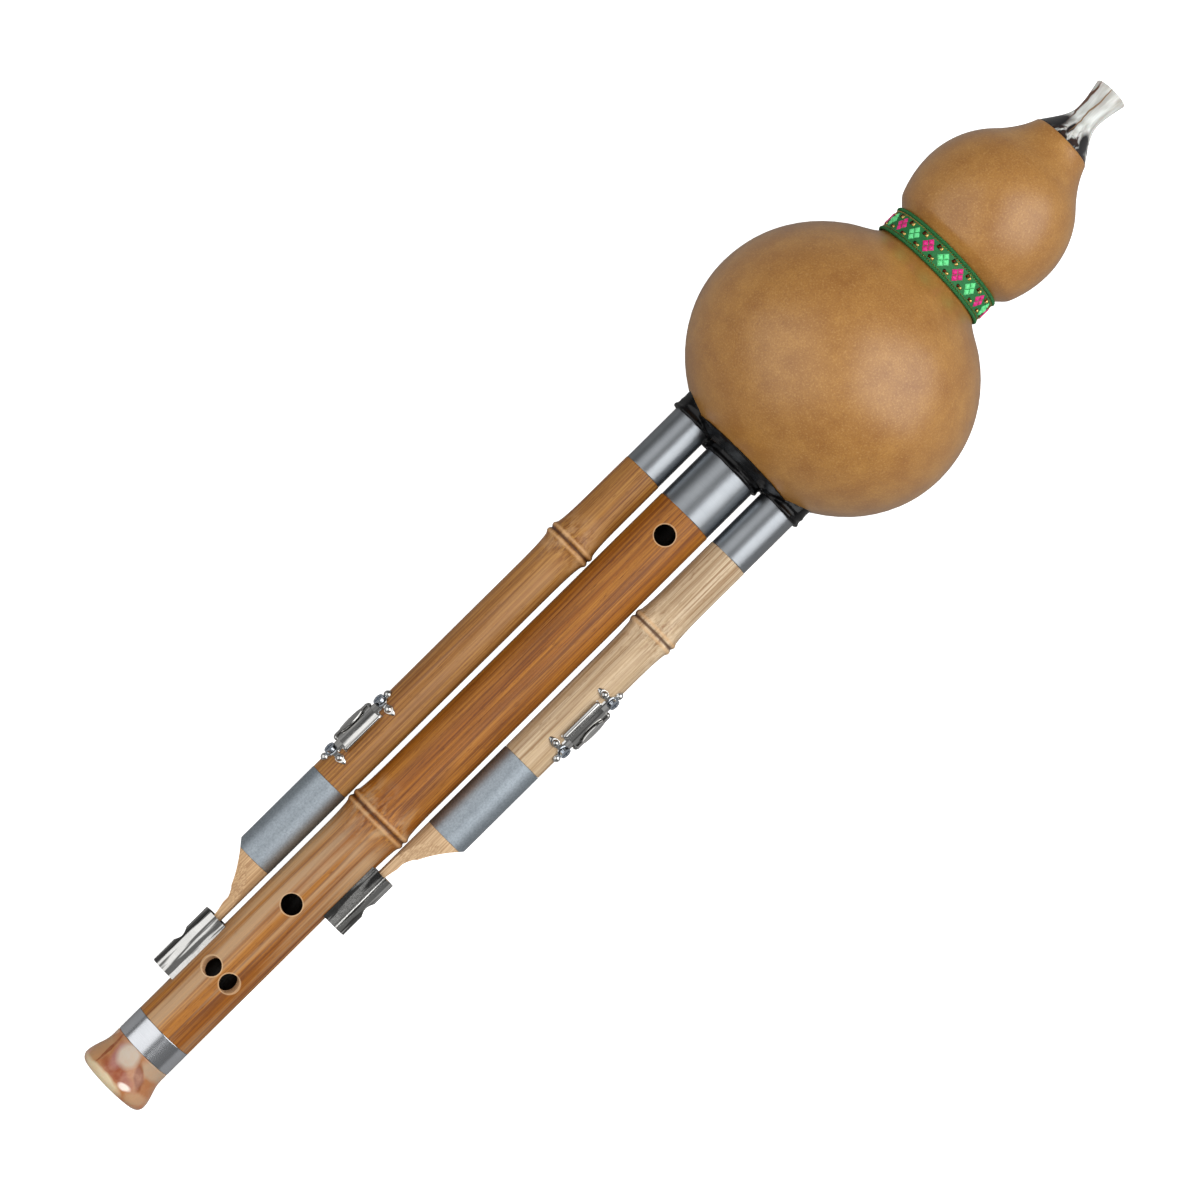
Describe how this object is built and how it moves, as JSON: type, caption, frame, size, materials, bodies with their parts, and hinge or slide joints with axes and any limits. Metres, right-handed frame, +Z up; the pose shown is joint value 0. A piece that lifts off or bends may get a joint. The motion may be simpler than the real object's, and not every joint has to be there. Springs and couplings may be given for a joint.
{
  "type": "hulusi",
  "caption": "Gourd flute lying on its front: double-bulb gourd wind chest with horn mouthpiece, a bamboo melody pipe and bamboo drones with slide switches, in plug-in metal ferrules.",
  "frame": {"origin": "centre of the bounding box's base, on the surface that the instrument lies on", "axes": "+X along the instrument towards the mouthpiece, +Y to the long drone's side, +Z up out of the thumb-hole side"},
  "size_m": [0.4444, 0.0976, 0.0975],
  "materials": {
    "gourd": "smooth dried gourd skin, soft sheen",
    "horn": "polished pale horn with dark streaks",
    "ribbon": "woven ribbon with coloured diamonds",
    "black_wax": "poured black wax, glossy",
    "ferrule_steel": "fine brushed round the tube",
    "main_bamboo": "polished warm brown bamboo",
    "long_bamboo": "polished brown bamboo",
    "short_bamboo": "polished pale bamboo",
    "tail_bamboo": "cut bamboo, satin",
    "reed_bamboo": "plain bamboo",
    "seal_rubber": "black seal",
    "reed_brass": "thin sheet",
    "bell_ring_metal": "polished ring",
    "agate_resin": "cream and amber resin, polished",
    "sleeve_zinc": "matte blue-grey rolled tube",
    "nickel": "bright nickel plating",
    "screw_zinc": "zinc plated",
    "pad_leather": "thin leather"
  },
  "bodies": {
    "gourd": {"gourd_shell": "gourd", "mouthpiece": "horn", "neck_ribbon": "ribbon", "wax_seat": "black_wax", "main_ferrule": "ferrule_steel", "long_drone_ferrule": "ferrule_steel", "short_drone_ferrule": "ferrule_steel"},
    "melody_pipe": {"main_pipe": "main_bamboo", "main_seal_ring": "seal_rubber", "main_reed_tube": "reed_bamboo", "main_reed": "reed_brass", "bell_ring": "bell_ring_metal", "bell": "agate_resin", "long_drone_clip": "nickel", "short_drone_clip": "nickel", "clip_nails": "screw_zinc"},
    "long_drone": {"long_drone_pipe": "long_bamboo", "long_drone_seal_ring": "seal_rubber", "long_drone_reed_tube": "reed_bamboo", "long_drone_reed": "reed_brass", "long_drone_sleeve": "sleeve_zinc", "long_drone_tail": "tail_bamboo", "long_switch_frame": "nickel", "long_switch_screws": "screw_zinc"},
    "long_slider": {"long_switch_slider": "nickel", "long_switch_pad": "pad_leather"},
    "short_drone": {"short_drone_pipe": "short_bamboo", "short_drone_seal_ring": "seal_rubber", "short_drone_reed_tube": "reed_bamboo", "short_drone_reed": "reed_brass", "short_drone_sleeve": "sleeve_zinc", "short_drone_tail": "tail_bamboo", "short_switch_frame": "nickel", "short_switch_screws": "screw_zinc"},
    "short_slider": {"short_switch_slider": "nickel", "short_switch_pad": "pad_leather"}
  },
  "joints": [
    {"name": "melody_pipe_pull", "type": "slide", "parent": "gourd", "child": "melody_pipe", "axis": [-0.9935, 0, -0.1139], "range_m": [0, 0.018]},
    {"name": "long_drone_pull", "type": "slide", "parent": "gourd", "child": "long_drone", "axis": [-0.9935, 0, -0.1139], "range_m": [0, 0.006]},
    {"name": "short_drone_pull", "type": "slide", "parent": "gourd", "child": "short_drone", "axis": [-0.9935, 0, -0.1139], "range_m": [0, 0.006]},
    {"name": "long_switch_slide", "type": "slide", "parent": "long_drone", "child": "long_slider", "axis": [0.9935, 0, 0.1139], "range_m": [-0.003, 0.003]},
    {"name": "short_switch_slide", "type": "slide", "parent": "short_drone", "child": "short_slider", "axis": [0.9935, 0, 0.1139], "range_m": [-0.003, 0.003]}
  ]
}
